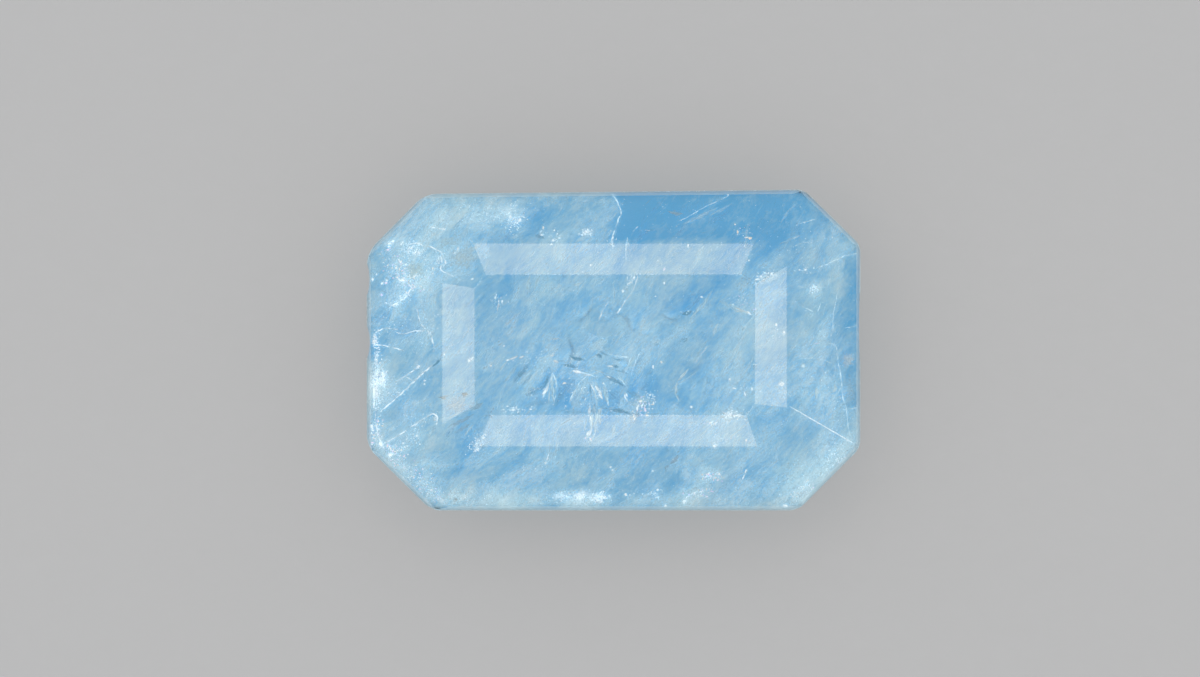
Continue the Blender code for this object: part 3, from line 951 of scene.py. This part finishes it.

# Single glints, painted highlights: centre, length, width, and the turn and tint where they aren't level
# and white
Glint = namedtuple("Glint", "x y length width turn tint", defaults=(0, WHITE))
GLINTS = (
    (411.3, 248.2, 3.4, 2.6, 60), (415.5, 252.6, 5.6, 1.7, 55), (419.4, 252.8, 5.4, 1.8, 120),
    (388.9, 243.6, 4.0, 2.0, 15), (388.5, 246.4, 3.4, 1.8, 10), (392.7, 241, 3.2, 2.6, 30),
    (387.5, 249.6, 3.2, 1.8, 20, PINK), (401, 262.2, 3.6, 1.8, 70, WARM), (397, 267.8, 4.2, 1.8, 60, WARM),
    (406, 265, 2.0, 1.6, 0, ICE), (403.4, 280, 4.6, 2.8), (399.3, 279.2, 2.4, 1.8),
    (386.2, 282.8, 3.2, 2.2, 20, PINK), (386.6, 280.2, 2.4, 1.6, 0, WARM), (381.5, 283.2, 3.0, 2.0, 60),
    (381.1, 294.8, 2.4, 2.4, 0, VIOLET), (376.2, 274.1, 2.6, 2.0, 40), (372.6, 279.4, 3.4, 2.2, 90),
    (434, 268.9, 2.6, 1.8, 80, WARM), (434, 274, 2.2, 1.8), (459, 249.6, 4.6, 2.2, 70),
    (455.7, 253.8, 3.0, 1.6, 35), (473.6, 279.6, 3.8, 1.4, 10), (400.4, 295.9, 2.4, 2.0),
    (407, 293, 3.2, 1.8, 60), (446.6, 262.6, 3.4, 1.8, 120), (439.6, 259, 4.0, 1.4, 90),
    (444.6, 229.8, 3.4, 1.6, 170), (386, 303, 2.2, 1.6), (397.3, 304.6, 2.6, 1.6),
    (419.5, 366.6, 3.8, 2.6, 40), (426.2, 380.3, 2.8, 2.0, 20), (425.6, 383.8, 2.4, 2.0, 80),
    (470.4, 360.4, 2.6, 3.4), (473.6, 358, 2.6, 2.0, 30), (445.6, 354.4, 2.2, 2.2),
    (371.4, 426.4, 2.6, 3.6), (371.8, 430, 2.0, 2.4, 0, ICE), (371.8, 442.3, 2.0, 2.6, 0, PINK),
    (380, 444, 2.8, 4.6, 30), (390.4, 448.6, 2.0, 3.4, 0, WARM), (390, 454.8, 4.6, 3.2, 10),
    (401.2, 450, 3.0, 2.4, 0, WARM), (403.6, 443, 2.4, 2.0), (404.4, 446.8, 2.2, 1.6),
    (418, 435.2, 2.6, 2.2), (420.6, 443.7, 2.2, 2.0), (519.4, 220.6, 3.0, 4.6, -20),
    (517.6, 223.6, 2.8, 1.8, 40), (510.6, 217.6, 2.4, 5.0), (542, 235.8, 3.8, 2.2, -15),
    (543.6, 228.6, 2.0, 3.4, 0, WARM), (553.6, 241, 2.6, 3.2), (551.6, 245, 3.0, 1.6),
    (554.6, 231, 2.0, 1.6), (612.7, 238.6, 2.0, 4.2), (610.8, 245, 2.8, 1.4), (590.8, 265.8, 2.2, 2.2),
    (582.8, 272.6, 2.0, 1.4), (633.6, 278.2, 3.0, 1.6, 40), (622.4, 291.6, 2.4, 3.4, -20),
    (496.6, 298, 2.4, 3.4, 0, ICE), (503.2, 301.4, 2.0, 1.6), (655, 296.8, 1.6, 1.4),
    (734.2, 225, 2.0, 2.0, 0, WARM), (736.8, 232.6, 2.2, 4.0, 0, ORANGE),
    (748.8, 238.9, 4.4, 2.4, 5, ORANGE), (745.6, 238.2, 5.0, 1.2, 10, WARM), (687.3, 246.2, 1.8, 4.6),
    (663.6, 269.9, 3.4, 1.4, 50, PINK), (663.6, 283.8, 2.0, 3.0, 20), (747.4, 261.3, 2.4, 2.0),
    (728.3, 194.8, 1.8, 1.6), (755.4, 279.8, 3.6, 2.0, 10), (759.4, 277.2, 2.8, 2.6, 30),
    (763.2, 273.4, 2.8, 2.2, 0, ICE), (769.8, 274, 3.6, 2.4, 20), (798.2, 270.4, 2.6, 1.6),
    (804.2, 270, 3.0, 2.8), (812.6, 268.4, 2.0, 1.6, 0, ICE), (700.5, 297.4, 3.6, 2.0),
    (748.2, 314, 3.4, 2.2, -35), (747, 312.6, 4.0, 1.4, -25, WARM), (731.6, 305, 2.0, 2.0, 0, ICE),
    (774.6, 324.8, 2.2, 4.0, 10), (782.4, 332.6, 2.2, 3.2, -10), (660.9, 362, 2.4, 2.8, 0, WARM),
    (652.4, 366.4, 2.0, 4.0), (728.3, 378.6, 2.4, 2.8), (743.4, 393.4, 1.8, 5.0, 15),
    (750.3, 388.5, 2.2, 3.4), (733, 387.8, 4.0, 1.2, -10), (690.4, 406.2, 3.0, 2.6),
    (709.4, 422, 2.2, 2.0, 0, WARM), (715.2, 421.6, 2.2, 1.6), (713.6, 445.2, 3.6, 2.8, 15),
    (744.8, 439.3, 1.8, 2.4, 0, WARM), (718.4, 473, 2.6, 2.6), (717.7, 479.4, 2.6, 2.2, 0, PINK),
    (745.4, 470.6, 2.0, 4.2, -15), (684.7, 501.8, 4.6, 3.4, 20), (657.6, 490, 2.4, 2.2),
    (657.4, 497.2, 5.6, 1.6, 15), (707, 496.8, 3.0, 1.4, -30, PINK), (665.8, 506.4, 2.6, 3.0),
    (785.8, 506.4, 5.0, 3.0), (780.4, 494.6, 1.8, 1.6), (801.6, 366, 3.6, 2.6, 0, ICE),
    (546, 462.4, 2.6, 2.6), (610.4, 466.4, 2.8, 2.2, 10), (612.4, 469.6, 1.6, 2.2),
    (652.5, 470, 2.4, 2.0, 0, ICE), (625.8, 494.7, 3.2, 2.4, 0, WARM), (478.6, 448.5, 2.4, 3.4),
    (486.6, 433.8, 2.0, 2.4), (587.6, 433.2, 2.2, 3.4, -10), (585.6, 437, 2.2, 2.0, 0, PINK),
    (591.2, 439.6, 2.0, 1.8, 0, WARM), (636.6, 407.4, 2.2, 5.0), (640, 400.6, 3.6, 2.4, 30, WARM),
    (644.6, 408.6, 2.4, 4.4, 10, PINK), (646.3, 414.6, 3.4, 2.0, 0, WARM), (649.8, 394.2, 3.6, 2.0, 30),
    (653, 402.4, 2.0, 3.6), (634, 418, 2.0, 3.6, -20, WARM), (603.4, 382.8, 2.0, 1.8),
    (505, 345.8, 2.0, 1.6), (492, 365.4, 2.2, 1.8, 0, WARM), (508.4, 359.8, 3.0, 1.8, 10),
    (545.4, 391.6, 2.0, 4.4, -30), (564.6, 382.8, 4.6, 1.8, 15, WARM), (508.6, 405.6, 2.8, 1.4),
    (544.6, 391.4, 7, 1.8, 56), (596.6, 387.6, 7, 1.5, -64), (600.4, 395.4, 6, 1.8, -62),
    (592.4, 386.6, 7, 1.1, -62), (574.2, 370.6, 2.8, 1.8), (579.6, 371.6, 4.6, 1.5, -12),
    (610.4, 365.8, 5.6, 1.0, -6), (608.6, 376.6, 6, 1.3, -26), (626.4, 394.6, 4.6, 1.4, -70),
    (590.6, 417, 5, 1.4, 88), (514, 409.2, 6.0, 1.6), (566, 405.4, 2.2, 1.6), (531.6, 408.4, 3.0, 1.4),
)

# Places full of small glints, painted highlights with flecks of painted shade among them: centre, half
# length, half width, turn, how many and size, by their tints
SPRAYS = (
    ((WHITE, WHITE, ICE, PALE, SHADE), (
        (412, 250, 14, 8, -10, 120, 1.5), (440, 262, 8, 12, 0, 80, 1.2), (403, 298, 14, 6, 30, 72, 1.3),
        (380, 378, 9, 10, 30, 160, 1.9), (377, 350, 4, 22, 0, 120, 1.4), (378, 400, 6, 14, 0, 80, 1.5),
        (414, 436, 16, 8, 30, 60, 1.2), (430, 330, 6, 22, -20, 68, 1.1), (509, 216, 22, 10, 20, 110, 1.2),
        (516, 226, 12, 8, 40, 70, 1.4), (480, 222, 22, 12, 0, 80, 1.1), (554, 240, 8, 7, 0, 48, 1.2),
        (586, 233, 8, 4, 15, 80, 1.3), (612, 244, 5, 6, 0, 36, 1.3), (631, 280, 8, 5, 50, 60, 1.2),
        (500, 302, 8, 9, 0, 48, 1.1), (762, 277, 12, 4, 25, 80, 1.4), (812, 289, 6, 7, 0, 70, 1.3),
        (730, 414, 13, 5, 0, 90, 1.4), (652, 396, 8, 6, 0, 60, 1.2), (477, 443, 7, 12, -30, 140, 1.3),
        (514, 409, 14, 3, 0, 72, 1.3), (532, 358, 26, 7, 15, 60, 1.1), (586, 392, 22, 14, 0, 72, 1.0),
        (598, 496, 12, 6, 0, 80, 1.7), (566, 496, 16, 6, 0, 80, 1.3), (655, 494, 8, 6, 0, 44, 1.4),
        (836, 458, 16, 10, 55, 80, 1.1), (470, 500, 26, 6, 0, 80, 1.0), (804, 270, 10, 4, 0, 28, 1.1),
        (775, 330, 8, 10, 0, 40, 1.1), (830, 400, 14, 26, 0, 80, 1.0), (745, 388, 14, 9, 0, 32, 1.0),
        (700, 250, 60, 8, 0, 40, 0.9), (430, 262, 18, 14, 0, 90, 1.0), (395, 320, 20, 12, 0, 50, 1.0),
        (412, 345, 22, 14, 0, 50, 0.9), (395, 395, 16, 14, 30, 70, 1.1), (420, 420, 24, 14, 30, 60, 1.0),
        (560, 360, 50, 14, 0, 90, 0.9), (580, 400, 50, 20, 0, 120, 0.9), (480, 210, 50, 12, 0, 90, 0.9),
        (450, 225, 30, 14, 30, 70, 0.9), (820, 340, 26, 40, 0, 80, 0.9), (700, 425, 60, 14, 0, 90, 0.9),
        (560, 430, 80, 12, 0, 60, 0.9), (640, 492, 80, 8, 0, 70, 1.0), (820, 470, 30, 24, 45, 110, 0.9),
        (610, 260, 60, 12, 0, 50, 0.9), (800, 250, 36, 16, 20, 60, 0.9), (540, 470, 60, 14, 0, 50, 0.9),
    )),
    ((WHITE, ICE, WARM, PALE, PINK, WHITE, ORANGE, SHADE, VIOLET), (
        (402, 270, 13, 12, 30, 140, 1.3), (414, 283, 16, 9, 0, 120, 1.3), (386, 262, 8, 18, 0, 60, 1.1),
        (376, 432, 5, 14, -15, 140, 1.4), (394, 450, 14, 7, -35, 100, 1.4),
        (410, 470, 30, 12, -40, 140, 1.2), (428, 490, 20, 8, -30, 100, 1.2),
        (741, 303, 14, 8, -20, 80, 1.0), (712, 422, 10, 4, 0, 48, 1.2), (727, 440, 14, 7, 0, 40, 1.0),
        (708, 475, 6, 4, 10, 60, 1.6), (718, 476, 5, 6, 0, 40, 1.3), (700, 492, 16, 5, 10, 72, 1.2),
        (642, 406, 12, 10, 0, 120, 1.3), (590, 436, 6, 5, 0, 32, 1.1), (802, 490, 14, 8, 35, 88, 1.1),
        (742, 230, 12, 8, 10, 28, 1.0),
    )),
    # flecks of painted shade, on the feather's dark blades and the dark marks
    ((SHADE, SHADE, SHADE, PALE), (
        (534, 392, 9, 7, 20, 60, 1.6), (569, 366, 10, 3, -10, 24, 1.2), (577, 357, 10, 3, -18, 24, 1.2),
        (614, 381, 14, 3, -30, 34, 1.2), (619, 411, 14, 3, -10, 34, 1.3), (686, 313, 7, 4, 20, 30, 1.4),
        (462, 422, 16, 6, 28, 50, 1.3), (673, 459, 7, 4, 48, 24, 1.4), (540, 234, 6, 4, 0, 24, 1.3),
        (410, 262, 24, 20, 0, 70, 1.1), (383, 378, 10, 10, 0, 24, 1.2), (574, 398, 26, 10, 0, 60, 1.0),
        (376, 432, 5, 12, 0, 24, 1.1), (522, 372, 14, 5, 52, 40, 1.1), (480, 445, 8, 12, 0, 30, 1.1),
    )),
)
SPRAY_DENSITY = 0.8

# How many small glints, needles of silk and milky streaks are strewn over the whole stone
STREWN_GLINTS = 1400
NEEDLES = 1800
STREAKS = 300


def make_cracks(cloud):
    """The bright crack edges, which glow as painted highlights, and the crack faces that hang below them."""
    edges = Flaws(11, cloud)
    for tint, strength, width, corners in LINES:
        depth = edges.draw.uniform(0.06, 0.2)
        edges.thread(corners, LINE_WIDTH * width, tint, LINE_STRENGTH * strength, depth)
    # a painted highlight: a glowing thread along the edge of the lower right corner's main facet
    edges.thread(PAINTED_EDGE_HIGHLIGHT, 1.1, WHITE, 1.2, depth=0.05, ragged=0.12)
    # the crack edges glow: a painted highlight on real cracks
    edges.piece("crack_edges", flaw_material("crack edge", (0.3, 0.3, 1), 0.7, 1.2, glow=0.35))

    faces = Flaws(12, cloud)
    draw = faces.draw
    for _, strength, _, corners in LINES:
        way, reach = draw.uniform(0, 2 * math.pi), draw.uniform(5, 14)
        drift = (reach * math.cos(way), reach * math.sin(way))
        faces.curtain(corners, drift, PALE, 0.5 * strength, fall=draw.uniform(0.3, 0.8))
    faces.curtain(STRAIGHT_CRACK, (-10, -12), WHITE, 0.5, 0.1, 0.6)
    faces.piece("crack_faces", flaw_material("crack face", (0.1, 0.8, 1), 0.2, 1.4))


def make_feather(cloud):
    """The feather, whose dark blades are painted shade, and the blades elsewhere, and the stains."""
    feather = Flaws(21, cloud)
    draw = feather.draw
    for x, y, length, width, turn, tint, strength in FEATHER:
        feather.blade(
            x, y, length, width, turn, tint, FEATHER_STRENGTH * strength, depth=draw.uniform(0.08, 0.3),
            lean=draw.uniform(-0.5, 0.5), climb=draw.uniform(-0.2, 0.2), bow=draw.uniform(-1, 1) * width / 3,
            ragged=1.2
        )
    feather.piece("feather", flaw_material("feather", (0.12, 1.1, 1), 0.35, 1.15))

    stains = Flaws(22, cloud)
    for stain in STAINS:
        stains.patch(*stain)
    stains.piece("stains", flaw_material("stain", (0.3, 0.45, 1), 0.4, 1.2))


def make_glints(cloud):
    """Painted highlights: glowing flakes for the sparks of fractures, and painted glare, also round each
    single one.
    """
    singles = [Glint(*values) for values in GLINTS]
    glares = Flaws(30, cloud)
    draw = glares.draw
    for x, y, half_length, half_width, turn, strength in GLARES:
        glares.patch(x, y, GLARE_SIZE * half_length, GLARE_SIZE * half_width, turn, WHITE,
                     GLARE_STRENGTH * strength, draw.uniform(0.08, 0.2), 0.1)
    # a soft painted glow round each single glint
    for x, y, length, width, turn, _ in singles:
        glares.patch(x, y, length, 1.2 * width, turn, ICE, 0.3, draw.uniform(0.08, 0.2), 0.1, 3, 10, 0.0)
    # the glare glows of itself: painted light
    glares.piece("glares", flaw_material("glare", (0.7, 0.7, 1), 0.0, 1.5, glow=0.2))

    glints = Flaws(31, cloud)
    draw = glints.draw
    for single in singles:
        glints.flake(*single, draw.uniform(0.05, 0.12), 0.3)
    for tints, places in SPRAYS:
        for x, y, half_length, half_width, turn, count, size in places:
            pixel_at = turned_about(x, y, turn)
            for _ in range(round(SPRAY_DENSITY * count)):
                spot = pixel_at(draw.gauss(0, 0.5) * half_length, draw.gauss(0, 0.5) * half_width)
                length = size * (0.45 + 1.7 * draw.random() ** 2)
                width = min(length, size * draw.uniform(0.4, 1.0))
                glints.flake(*spot, length, width, draw.uniform(0, 180), draw.choice(tints),
                             draw.uniform(0.05, 0.3), draw.uniform(0, 0.8))
    for _ in range(STREWN_GLINTS):
        spot = spot_in_stone(draw)
        glints.flake(*spot, draw.uniform(0.4, 1.2), draw.uniform(0.3, 0.7), draw.gauss(55, 30),
                     draw.choice((WHITE, ICE, ICE, PALE, SHADE)), draw.uniform(0.1, 0.6), draw.uniform(0, 1))
    # The glints are painted highlights, flakes that glow, with flecks of painted shade among them
    glints.piece("glints", flaw_material("glint", (1, 1, 1), hides=False, glow=0.3))


def make_silk(cloud):
    """Fine needles and longer milky streaks, most of them along one direction of the crystal."""
    silk = Flaws(41, cloud)
    draw = silk.draw
    for _ in range(NEEDLES):
        spot = spot_in_stone(draw)
        if draw.random() > 0.35 + 0.6 * haze_spot(*spot):
            continue
        turn = draw.gauss(54, 14) if draw.random() < 0.6 else draw.uniform(0, 180)
        silk.blade(*spot, draw.uniform(3, 13), draw.uniform(0.3, 0.6), turn,
                   draw.choice((ICE, ICE, PALE, TEAL)), draw.uniform(0.2, 0.6), draw.uniform(0.1, 0.6), 0,
                   draw.uniform(-0.3, 0.3))
    # the silk glows a little: painted light for the light scattered in the cloud
    silk.piece("silk", flaw_material("silk", (0.2, 1, 1), 0.5, 1.1, glow=0.12))

    streaks = Flaws(42, cloud)
    draw = streaks.draw
    for _ in range(STREAKS):
        spot = spot_in_stone(draw, 12)
        milky = haze_spot(*spot)
        tint = draw.choice((PALE, ICE, ICE)) if draw.random() < 0.3 + 0.75 * milky else DEEP
        streaks.blade(*spot, draw.uniform(12, 40), draw.uniform(1.5, 7), draw.gauss(50, 15), tint,
                      draw.uniform(0.1, 0.35), draw.uniform(0.15, 0.8), draw.uniform(-0.6, 0.6),
                      draw.uniform(-0.2, 0.2), draw.uniform(-3, 3), 1.0)
    streaks.piece("streaks", flaw_material("streak", (0.08, 0.8, 1), 0.2, 1.3))


# The studio

# The floor lies just under the stone, so that the two share no plane
FLOOR_SIZE = 1.2
FLOOR_GAP = 0.02 * MM
FLOOR_DARK = (0.412, 0.411, 0.415)
FLOOR_PALE = (0.424, 0.423, 0.427)

# Lamps: tilt from the zenith in degrees, size in metres, radiance and colour
RING_LAMP = (24, 0.12, 7.4, (0.99, 1.0, 1.0))
RING_AZIMUTHS = range(30, 360, 60)
SOFTBOX = (42, 0.16, 2.0, (1.0, 0.83, 0.62))
SOFTBOX_AZIMUTHS = range(0, 360, 90)
LAMP_DISTANCE = 0.5
ROOM_STRENGTH = 0.42

# The camera's lens and sensor in millimetres
LENS = 180
SENSOR = 36


def make_floor():
    bpy.ops.mesh.primitive_plane_add(size=FLOOR_SIZE, location=(0, 0, -FLOOR_GAP))
    floor = bpy.context.object
    floor.name = "floor"
    paper = Surface("pale paper")
    fibres = paper.grown(0, (1.2, 1.6, 1.2), 0.5, 4, 0.6)
    paper.look(
        Base_Color=paper.ramp(fibres, ((0.3, FLOOR_DARK), (0.7, FLOOR_PALE))),
        Roughness=paper.ranged(fibres, 0.3, 0.7, 0.75, 0.85),
        Normal=paper.relief(fibres, 0.01),
    )
    floor.data.materials.append(paper.material)


def soft_lamp(name, azimuth, tilt, size, radiance, colour):
    """A square lamp that faces the stone from an azimuth, tilted from the zenith, in degrees."""
    turn, lean = math.radians(azimuth), math.radians(tilt)
    direction = Vector((math.sin(lean) * math.cos(turn), math.sin(lean) * math.sin(turn), math.cos(lean)))
    data = bpy.data.lights.new(name, "AREA")
    data.shape = "SQUARE"
    data.size = size
    data.energy = radiance * math.pi * size**2
    data.color = colour
    lamp = link(bpy.data.objects.new(name, data))
    lamp.location = direction * LAMP_DISTANCE
    lamp.rotation_euler = direction.to_track_quat("Z", "Y").to_euler()
    return lamp


def make_lights():
    """An even white room, a ring of soft lamps round the camera and four softboxes in the long step facets.

    The ring stands where no facet mirrors it to the camera, so it lights the cloud and whitens no facet. The
    warm softboxes are there for their reflections alone.
    """
    world = bpy.data.worlds.new("studio")
    bpy.context.scene.world = world
    world.use_nodes = True
    room = world.node_tree.nodes["Background"]
    room.inputs["Color"].default_value = (1, 1, 1, 1)
    room.inputs["Strength"].default_value = ROOM_STRENGTH
    for number, azimuth in enumerate(RING_AZIMUTHS):
        soft_lamp(f"ring_{number}", azimuth, *RING_LAMP)
    for azimuth in SOFTBOX_AZIMUTHS:
        soft_lamp(f"softbox_{azimuth}", azimuth, *SOFTBOX).visible_diffuse = False


def make_camera():
    """Straight above the table, with the stone where the photograph has it."""
    data = bpy.data.cameras.new("camera")
    data.lens = LENS
    data.sensor_width = SENSOR
    data.clip_start = 0.01
    camera = link(bpy.data.objects.new("camera", data))
    distance = FRAME_WIDTH_PX * PIXEL * LENS / SENSOR
    off_x = (FRAME_WIDTH_PX / 2 - STONE_MIDDLE_PX[0]) * PIXEL
    off_y = (STONE_MIDDLE_PX[1] - FRAME_HEIGHT_PX / 2) * PIXEL
    camera.location = (off_x, off_y, GIRDLE_HEIGHT + distance)
    bpy.context.scene.camera = camera


def set_picture():
    bpy.context.scene.view_settings.view_transform = "Standard"
    cycles = bpy.context.scene.cycles
    cycles.use_denoising = True
    cycles.max_bounces = 12
    cycles.transmission_bounces = 10
    cycles.glossy_bounces = 6
    cycles.diffuse_bounces = 2
    cycles.transparent_max_bounces = 32
    cycles.sample_clamp_indirect = 4
    cycles.caustics_reflective = False
    cycles.caustics_refractive = False


make_camera()
make_stone()
deepest = make_haze()
make_cracks(deepest)
make_feather(deepest)
make_glints(deepest)
make_silk(deepest)
make_floor()
make_lights()
set_picture()
